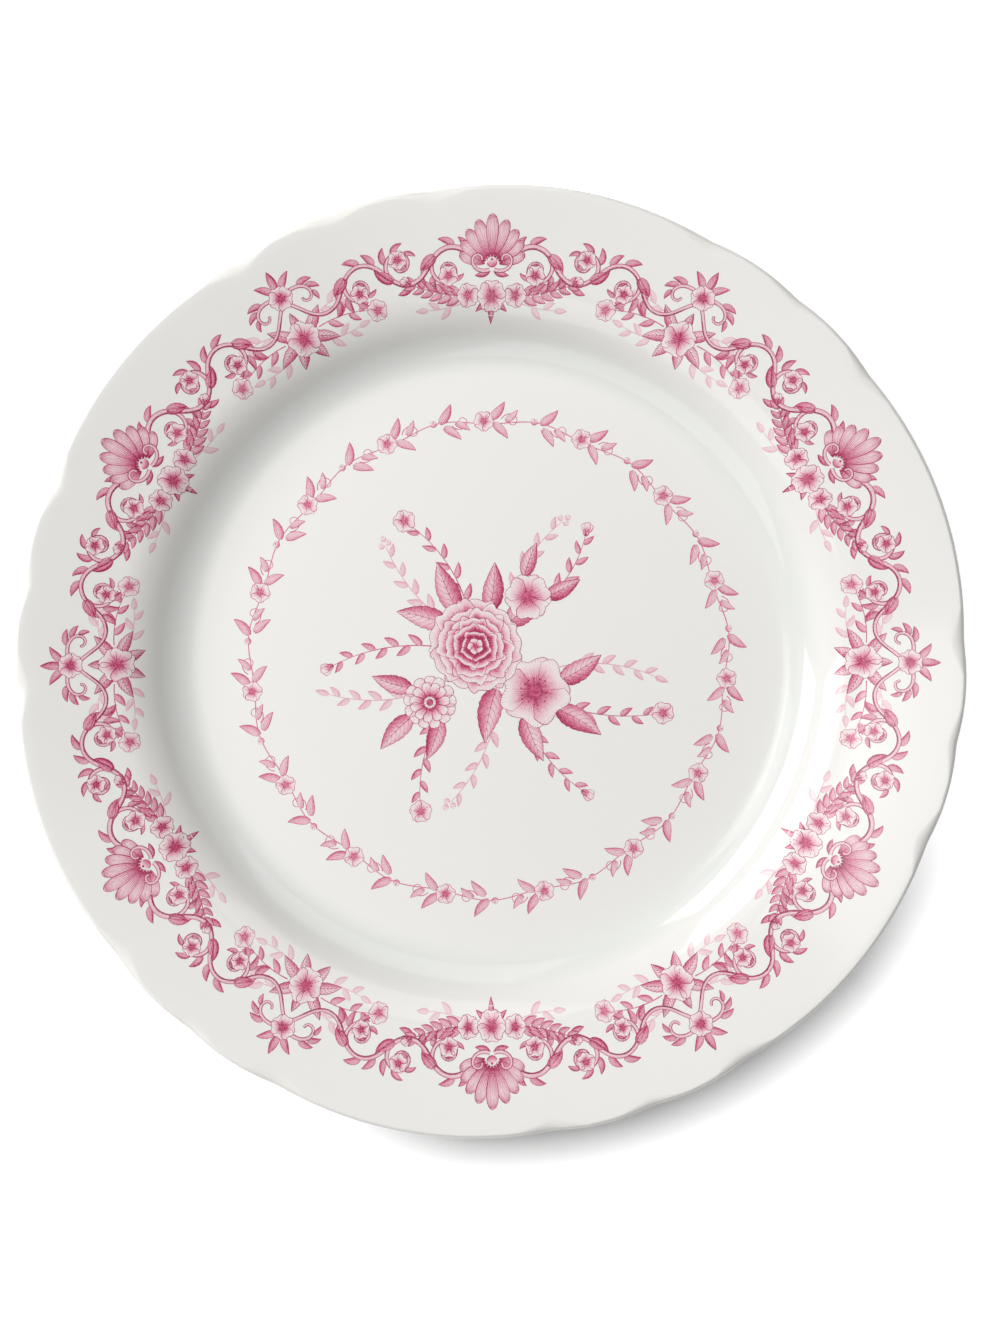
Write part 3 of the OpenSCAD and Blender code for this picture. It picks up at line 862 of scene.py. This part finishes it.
def rinceau(d):
    """Waving stem, whose direction swings as a cosine, with a spiral branch and a flower in each bend."""
    swing, wave, run = 52, 33.0, 70.5
    s = np.linspace(0, run, 161)
    heading = np.radians(swing) * np.cos(2 * math.pi * s / wave)
    for at in both_sides(d):
        stem = Band((5.2, -4.6), heading, run, 0.75 - 0.3 * s / run)
        for start, curl, radius in ((0.4, -1, 5.0), (0.9, 1, 4.6), (1.4, -1, 4.6)):
            x, y, turn = along(stem, start * wave / run)
            branch = spiral((x, y), turn + 90, 5.0 * radius, curl * radius, curl * 1.5, 1.2)
            for u, size in ((0.1, 5.4), (0.24, 5.0), (0.38, 4.4), (0.52, 3.6)):
                leaflet_on(at, branch, u, -0.6 * curl, -46 * curl, size, 2 + u, 58 * curl, 0.8, 0.38)
            for u in (0.3, 0.5, 0.68):
                leaflet_on(at, branch, u, 0.6 * curl, 40 * curl, 2.6, 2 + u, -30 * curl, 0.8, 1.1 / 2.6)
            vine(at, branch, 3, -curl)
            blossom(at.placed(*along(branch, 1.0)), 5, 0.56 * radius, 5)
            leaflet(at, x, y, turn - 30 * curl, 6.4, 2.3, 6, 52 * curl, 0.95)
            leaflet(at, x, y, turn + 14 * curl, 5.4, 1.8, 6.2, -30 * curl, 0.85)
        for start, outer in ((0.1, 1), (0.22, 1), (0.62, -1), (0.74, -1), (1.12, 1), (1.24, 1), (1.6, -1)):
            leaflet_on(at, stem, start * wave / run, 0.6 * outer, 44 * outer, 5.0, 2, -52 * outer, 0.8)
        vine(at, stem, 4)


def festoon(d):
    """Swag under the palmette: three flowers, leaves that run up to both sides and light sprays."""
    for side in both_sides(d):
        swag = blade((4, 103.4 - d.roll), 0, 22, 0, 30)
        side.stem(swag, 1, (0.4, 0.25), 0.8)
        for k in range(6):
            u, size = 0.28 + 0.13 * k, 5.4 - 0.36 * k
            leaflet_on(side, swag, u, 0, 44, size, 2 + 0.1 * k, -24, 0.75)
            leaflet_on(side, swag, u, 0, -46, size, 2.1 + 0.1 * k, 24, 0.65)
        bud(side, *along(swag, 1.0), 3.2, 4)
        spray(side.on_rim(10, 101.6), 0, 0, -104, 20, 11, 1, 0.36, "leaf")
        blossom(side.on_rim(7.6, 103.8), 5, 3.3, 4, 20)
    for turn in (180, 128, -128):
        leaflet(d.on_rim(0, 103.2), 0, 0, turn, 7.6 if turn == 180 else 6.6, 2.2, 3, 0, 0.85)
    blossom(d.on_rim(0, 103.4), 6, 4.5, 6, 0, 0.8)


def joint_spray(d):
    """Rosette in the border and a sprig of flowers below it, where two sections meet."""
    half = math.pi * d.roll / REPEATS
    at = d.on_rim(half, 118.6)
    for side in both_sides(at):
        volute = spiral((1.6, 0.4), 22, 13.5, -8.0, -1.1, 1.1)
        vine(side, volute, 3, 1)
        for u, size in ((0.3, 4.6), (0.46, 4.2), (0.62, 3.4)):
            leaflet_on(side, volute, u, 0.6, 40, size, 2 + u, -50, 0.8)
        leaflet(side, 1.2, 2.0, -28, 5.6, 2.1, 1.8, -34, 0.75)
    leaflet(at, 0, 2.6, 0, 5.8, 2.2, 2, 0, 0.85)
    blossom(at, 6, 3.4, 6, 0, 0.8)
    at = d.on_rim(half, 105.5)
    for side in both_sides(at):
        for turn, reach, lean in ((-58, 8.6, 16), (-104, 9.2, -16), (-146, 6.6, -10)):
            leaf(side.placed(turn=turn), 0, 2.4, 0, reach, 3.5, 2, lean, 0.6)
        spray(side, 6, 1, -84, -22, 17, 1, 0.8, "flower")
        spray(side, 5, -3, -106, 26, 13, 1, 0.36, "leaf")
        spray(side, 6, 4, -62, -40, 12, 1, 0.36, "berry")
    leaf(at, 0, 2.6, 0, 5.6, 2.8, 2, 0, 0.6)
    blossom(at, 5, 5.0, 5, 36, 0.8)


def border_section(seed):
    """One sixth of the border, drawn about +Y."""
    d = Drawing(seed, print_look().border_r / MM)
    for part in (festoon, rinceau, palmette, joint_spray):
        part(d)
    return d


def wreath(seed):
    """Ring of 30 leaf pairs on a waving vine, with a flower on every other one and a berry between."""
    d = Drawing(seed)
    units = 30
    r = print_look().wreath_r / MM
    a = np.linspace(0, 2 * math.pi, 12 * units + 1)
    waving = r + 0.8 * np.sin(units / 2 * a)
    d.stroke(np.stack([waving * np.cos(a), waving * np.sin(a)], -1), 0.3, 0.6, 1)
    for k in range(units):
        at = d.placed(turn=-360 / units * k, strength=0.82).placed(0, r)
        curl = -1 if k % 2 else 1
        leaflet(at, 0, 0.6, -58, 6.6, 2.5, 2, 34, 0.75)
        leaflet(at, 0.9, -0.6, -118, 6.2, 2.3, 2.2, -34, 0.6)
        leaflet(at, 4.4, 0, -64 if curl > 0 else -112, 4.8, 1.8, 2.1, 30 * curl, 0.5)
        tendril = spiral((3.4, 0.6 * curl), 60 * curl, 10, -3.0 * curl, -0.8 * curl, 0.5)
        at.stem(tendril, 1.5, (0.3, 0.2), 0.75, 24)
        if k % 2:
            berry(at, -1.6, 0.9, 0.9, 3)
        else:
            blossom(at.placed(-1.6, 0), 5, 2.7, 3)
    return d


def posy(seed):
    """Loose bunch in the well: a peony, a dog rose, an aster and a small flower among leaves and sprays."""
    d = Drawing(seed)
    for x, y, turn, bend, reach, strength, end in (
            (-6, 14, 14, 40, 30, 0.85, "flower"), (6, 14, -8, -44, 30, 0.45, "berry"),
            (15, 16, -52, 40, 24, 0.8, "bud"), (20, -2, -78, -36, 28, 0.45, "leaf"),
            (18, -12, -112, 30, 30, 0.85, "flower"), (10, -16, -160, 36, 28, 0.8, "bud"),
            (2, -14, 172, -36, 30, 0.45, "berry"), (-14, -16, 150, 34, 26, 0.85, "flower"),
            (-22, -10, 104, -30, 24, 0.45, "leaf"), (-16, 4, 84, 34, 30, 0.8, "bud"),
            (-14, 12, 52, -30, 26, 0.45, "berry")):
        spray(d, x, y, turn, bend, reach, 1, strength, end)
    for k, (x, y, turn, reach, lean) in enumerate((
            (-12, 10, 66, 15, 18), (-9, 14, 30, 15, -14), (0, 14, -14, 14, 16), (5, 10, -46, 16, -18),
            (20, -6, -66, 14, 16), (19, -14, -112, 15, -16), (10, -16, -164, 14, 14), (2, -8, 160, 16, 16),
            (-14, -17, 168, 12, -14), (-22, -16, 128, 13, 16), (-22, -8, 80, 12, -14), (16, 18, -70, 11, 14),
            (10, 24, -14, 10, -12))):
        leaf(d, x, y, turn, reach, 0.44 * reach, 4 + 0.5 * k, lean, 0.62 + 0.1 * (k % 3))
    aster(d.placed(-17, -12), 7.5, 12)
    blossom(d.placed(11, 18), 6, 6.4, 12, 0, 0.8)
    dog_rose(d.placed(13, -9), 9.5, 18)
    peony(d.placed(-4, 4), 13.5, 23)
    return d


class Shade:
    """A socket among a material's nodes; arithmetic on it adds Math nodes."""

    def __init__(self, tree, socket=None):
        self.tree = tree
        self.socket = socket

    def node(self, kind, settings=None, inputs=None, output=0):
        """Adds a node, sets its settings, then the values or links of its sockets, and gives one output."""
        made = self.tree.nodes.new("ShaderNode" + kind)
        for name, value in (settings or {}).items():
            if name == "stops":
                while len(made.color_ramp.elements) < len(value):
                    made.color_ramp.elements.new(1)
                for element, (position, tint) in zip(made.color_ramp.elements, value):
                    element.position = position
                    element.color = (*tint, 1)
            else:
                setattr(made, name, value)
        for name, value in (inputs or {}).items():
            if isinstance(value, Shade):
                self.tree.links.new(value.socket, made.inputs[name])
            else:
                made.inputs[name].default_value = value
        return Shade(self.tree, made.outputs[output] if made.outputs else None)

    def math(self, operation, *values):
        return self.node("Math", {"operation": operation}, dict(enumerate(values)))

    def __add__(self, other):
        return self.math("ADD", self, other)

    def __sub__(self, other):
        return self.math("SUBTRACT", self, other)

    def __rsub__(self, other):
        return self.math("SUBTRACT", other, self)

    def __mul__(self, other):
        return self.math("MULTIPLY", self, other)

    def __truediv__(self, other):
        return self.math("DIVIDE", self, other)

    def __rtruediv__(self, other):
        return self.math("DIVIDE", other, self)

    def __gt__(self, other):
        return self.math("GREATER_THAN", self, other)

    def __lt__(self, other):
        return self.math("LESS_THAN", self, other)

    __radd__ = __add__
    __rmul__ = __mul__

    def mix(self, low, high):
        """Colour between two others, by this value."""
        inputs = {0: self, 6: low, 7: high}
        return self.node("Mix", {"data_type": "RGBA", "clamp_factor": True}, inputs, 2)

    def noise(self, scale, detail=2.0):
        """Noise over the object's own coordinates; the scale is in waves to the metre."""
        inputs = {"Vector": self.node("TexCoord", output="Object"), "Scale": scale, "Detail": detail}
        return self.node("TexNoise", {"noise_dimensions": "3D"}, inputs, "Fac")

    def attribute(self, name):
        """Value that the mesh holds at its vertices."""
        return self.node("Attribute", {"attribute_name": name}, output="Fac")


def new_material(name):
    """An empty material and the start of its nodes."""
    material = bpy.data.materials.new(name)
    material.use_nodes = True
    material.node_tree.nodes.clear()
    return material, Shade(material.node_tree)


def rgba(tint):
    return (*tint, 1.0)


def glazed(start, base):
    """Glossy glaze over a base colour: faint waves of the fired surface and a gloss that varies a little."""
    waves, ripples, patches = 55, 420, 38
    height = start.noise(waves, 1.0) + 0.12 * start.noise(ripples, 2.0)
    bump = start.node("Bump", None, {"Strength": 0.35, "Distance": 0.06 * MM, "Height": height})
    gloss = 0.055 + 0.05 * start.noise(patches, 3.0)
    shader = start.node("BsdfPrincipled", None, {
        "Base Color": base, "Roughness": gloss, "IOR": 1.5, "Normal": bump})
    start.node("OutputMaterial", None, {"Surface": shader})


def glaze_material():
    """China glaze: ivory white, warmer where it runs thin, cooler where it pools, with a rare pin speck."""
    sizes = ware_sizes()
    clouds, cells, speck, rarity = 22, 95.0, 0.022, 0.9
    material, start = new_material("china_glaze")
    coat = start.attribute("coat")
    tone = (-1 * coat).mix(rgba(sizes.glaze_colour), rgba(sizes.thin_colour))
    tone = coat.mix(tone, rgba(sizes.pool_colour))
    cloud = start.noise(clouds, 2.0) - 0.5
    tone = (0.25 * cloud + 0.06).mix(tone, rgba(sizes.thin_colour))
    cell = {"Vector": start.node("TexCoord", output="Object"), "Scale": cells}
    near = start.node("TexVoronoi", None, cell, "Distance") < speck
    rare = start.node("SeparateColor", None, {0: start.node("TexVoronoi", None, cell, "Color")}) > rarity
    tone = (0.3 * near * rare).mix(tone, rgba(sizes.clay_colour))
    glazed(start, tone)
    return material


def ink_material():
    """Printed ink under the glaze: its tone runs from white through wash, rose and crimson to deep."""
    look = print_look()
    grains, patches = 2400, 130
    material, start = new_material("printed_ink")
    grain = start.noise(grains, 1.0) - 0.5
    patch = start.noise(patches, 2.0) - 0.5
    tone = start.attribute("tone") * (1 + 0.9 * grain + 0.3 * patch)
    white = ware_sizes().glaze_colour
    stops = [(0.0, white), (0.2, look.wash), (0.5, look.rose), (0.8, look.crimson), (1.0, look.deep)]
    glazed(start, start.node("ValToRGB", {"stops": stops}, {0: tone}))
    return material


def clay_material():
    """Bare fired clay: matt and grainy, greyed on the worn base of the foot ring."""
    sizes = ware_sizes()
    grains, scuffs = 2600, 240
    material, start = new_material("fired_clay")
    grain = start.noise(grains, 4.0)
    worn = start.attribute("worn") * start.noise(scuffs, 3.0)
    dark = [0.62 * channel for channel in sizes.clay_colour]
    tone = (0.5 * grain - 0.1 + 0.55 * worn).mix(rgba(sizes.clay_colour), rgba(dark))
    bump = start.node("Bump", None, {"Strength": 0.6, "Distance": 0.05 * MM, "Height": grain})
    shader = start.node("BsdfPrincipled", None, {
        "Base Color": tone, "Roughness": 0.72 + 0.15 * grain, "Normal": bump})
    start.node("OutputMaterial", None, {"Surface": shader})
    return material


def floor_material():
    """Pale tabletop that the camera, mirrors and glass see as white, and that keeps the shadow.

    To the camera, the white rises with the distance from the axis in a sector about the shaded side, whose
    sides are soft in the cosine of the direction, and is even elsewhere: this is painted shade, a dark band
    beside the plate where the glow is held back, while the even glow elsewhere whitens the real shadow.
    From below it is clear."""
    look = stage_look()
    board = (0.82, 0.82, 0.82, 1.0)
    sector_ends, sector_full = 0.7, 0.9
    material, start = new_material("pale_floor")
    place = {0: start.node("TexCoord", output="Object")}
    x = start.node("SeparateXYZ", None, place, 0)
    y = start.node("SeparateXYZ", None, place, 1)
    far = start.math("SQRT", x * x + y * y + 1e-9)
    facing = (math.cos(look.painted_shade_side) * x + math.sin(look.painted_shade_side) * y) / far
    # Painted shade: this sector mask holds back the camera's glow beside the plate, darkening the floor
    # there.
    side = start.node("Clamp", None, {0: (facing - sector_ends) / (sector_full - sector_ends)})
    near = start.node("Clamp", None, {0: 1.0 - (far - look.painted_shade_from) / look.painted_shade_width})
    seen = start.node("LightPath", output="Is Camera Ray") * (1 - side * near)
    seen = seen + start.node("LightPath", output="Is Glossy Ray")
    seen = seen + start.node("LightPath", output="Is Transmission Ray")
    matt = start.node("BsdfDiffuse", None, {"Color": board})
    glow = start.node("Emission", None, {"Strength": seen * look.floor_glow})
    both = start.node("AddShader", None, {0: matt, 1: glow})
    below = start.node("NewGeometry", output="Backfacing")
    clear = start.node("BsdfTransparent")
    shown = start.node("MixShader", None, {0: below, 1: both, 2: clear})
    start.node("OutputMaterial", None, {"Surface": shown})
    return material


def one_material(name, make):
    """The material of that name, made the first time it is asked for."""
    return bpy.data.materials.get(name) or make()


def dress(piece, node):
    """Puts a piece in the place of its CAD node."""
    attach(piece, "root")
    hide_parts(node)


def lay_print(drawing, name, node, turn=0.0):
    """Lays a drawing on the front as a printed film, in the place of its CAD node."""
    piece = film(drawing, Ware(ware_sizes()), name, turn, one_material("printed_ink", ink_material))
    dress(piece, node)


class PLATE_OT_clay(bpy.types.Operator):
    """Builds the fired clay body with its foot ring"""
    bl_idname = "plate.clay"
    bl_label = "Clay body"

    def execute(self, context):
        ware = Ware(ware_sizes())
        piece = clay_form(ware, "plate_clay", around(540), one_material("fired_clay", clay_material))
        dress(piece, "clay_body")
        return {"FINISHED"}


class PLATE_OT_glaze(bpy.types.Operator):
    """Builds the glaze over the plate and the glaze in the recess under it"""
    bl_idname = "plate.glaze"
    bl_label = "Glaze"

    def execute(self, context):
        ware = Ware(ware_sizes())
        material = one_material("china_glaze", glaze_material)
        dress(glaze_skin(ware, "plate_glaze", around(648), material), "outer_glaze")
        dress(recess_skin(ware, "recess_skin", around(360), material), "recess_glaze")
        return {"FINISHED"}


class PLATE_OT_border(bpy.types.Operator):
    """Lays the six printed sections of the border on the rim"""
    bl_idname = "plate.border"
    bl_label = "Printed border"

    def execute(self, context):
        section = border_section(seed=11)
        for i, node in enumerate(RIM_NODES):
            lay_print(section, f"border_print_{i + 1}", node, 2 * math.pi * i / REPEATS)
        return {"FINISHED"}


class PLATE_OT_wreath(bpy.types.Operator):
    """Lays the printed wreath round the floor of the well"""
    bl_idname = "plate.wreath"
    bl_label = "Printed wreath"

    def execute(self, context):
        lay_print(wreath(seed=23), "wreath_print", "wreath_transfer")
        return {"FINISHED"}


class PLATE_OT_posy(bpy.types.Operator):
    """Lays the printed posy in the middle of the well"""
    bl_idname = "plate.posy"
    bl_label = "Printed posy"

    def execute(self, context):
        lay_print(posy(seed=37), "posy_print", "centre_transfer")
        return {"FINISHED"}


def lamp(name, azimuth, elevation, distance, size, watts):
    """A soft rectangular lamp at a direction from the plate, facing it; degrees and metres."""
    light = bpy.data.lights.new(name, "AREA")
    light.shape = "RECTANGLE"
    light.size, light.size_y = size
    light.energy = watts
    lamp_object = bpy.data.objects.new(name, light)
    a, e = math.radians(azimuth), math.radians(elevation)
    out = distance * math.cos(e)
    lamp_object.location = out * math.cos(a), out * math.sin(a), distance * math.sin(e)
    lamp_object.rotation_euler = math.pi / 2 - e, 0, a + math.pi / 2
    bpy.context.scene.collection.objects.link(lamp_object)


class PLATE_OT_stage(bpy.types.Operator):
    """Sets the camera, the lamps, the world and the pale floor"""
    bl_idname = "plate.stage"
    bl_label = "Stage"

    def execute(self, context):
        look = stage_look()
        scene = context.scene
        scene.view_settings.view_transform = "Standard"
        camera = bpy.data.objects.new("camera", bpy.data.cameras.new("camera"))
        camera.rotation_euler = look.tilt_x, look.tilt_y, 0
        aim = Vector((look.view_x, look.view_y, CAD_BOX[1][2]))
        camera.location = aim + camera.rotation_euler.to_matrix() @ Vector((0, 0, look.camera_far))
        camera.data.lens = camera.data.sensor_width * look.camera_far / look.view_height
        scene.collection.objects.link(camera)
        scene.camera = camera
        lamp("window", 155, 33, 1.3, (1.2, 0.65), look.window_watts)
        lamp("upper_window", 155, 52, 1.3, (1.0, 0.4), look.upper_watts)
        lamp("pane", 164, 68, 1.4, (0.36, 0.46), look.pane_watts)
        lamp("skylight", 178, 77, 1.39, (0.28, 0.3), look.skylight_watts)
        lamp("sky", 155, 85, 1.5, (1.2, 1.2), look.sky_watts)
        lamp("wall_above", 65, 45, 1.6, (1.4, 1.0), look.wall_watts)
        lamp("wall_below", 245, 45, 1.6, (1.4, 1.0), look.wall_watts)
        world = bpy.data.worlds.new("soft_room")
        world.use_nodes = True
        background = world.node_tree.nodes["Background"]
        background.inputs["Color"].default_value = (1, 1, 1, 1)
        background.inputs["Strength"].default_value = look.fill
        scene.world = world
        surface = Surface()
        side = 12.0
        lines = np.linspace(-side, side, 9)
        x, y = np.meshgrid(lines, lines, indexing="ij")
        grid = surface.add(np.stack([x, y, 0 * x], -1), 0.0)
        surface.face(grid[:-1, :-1], grid[1:, :-1], grid[1:, 1:], grid[:-1, 1:])
        surface.piece("floor", "shade", one_material("pale_floor", floor_material))
        return {"FINISHED"}


class PLATE_PT_sidebar(bpy.types.Panel):
    """Lists the steps that build the plate"""
    bl_idname = "PLATE_PT_sidebar"
    bl_label = "Printed plate"
    bl_space_type = "VIEW_3D"
    bl_region_type = "UI"
    bl_category = "Plate"

    def draw(self, context):
        for step in STEPS:
            self.layout.operator(step.bl_idname)


GROUPS = {"plate_ware": WareSizes, "plate_print": PrintLook, "plate_stage": StageLook}
STEPS = (PLATE_OT_stage, PLATE_OT_clay, PLATE_OT_glaze, PLATE_OT_border, PLATE_OT_wreath, PLATE_OT_posy)


def register():
    for made in (*GROUPS.values(), *STEPS, PLATE_PT_sidebar):
        bpy.utils.register_class(made)
    for name, group in GROUPS.items():
        setattr(bpy.types.Scene, name, bpy.props.PointerProperty(type=group))


def unregister():
    for name in GROUPS:
        delattr(bpy.types.Scene, name)
    for made in (PLATE_PT_sidebar, *reversed(STEPS), *reversed(GROUPS.values())):
        bpy.utils.unregister_class(made)


def main():
    register()
    bpy.ops.plate.stage()
    bpy.ops.plate.clay()
    bpy.ops.plate.glaze()
    bpy.ops.plate.border()
    bpy.ops.plate.wreath()
    bpy.ops.plate.posy()


if __name__ == "__main__":
    main()
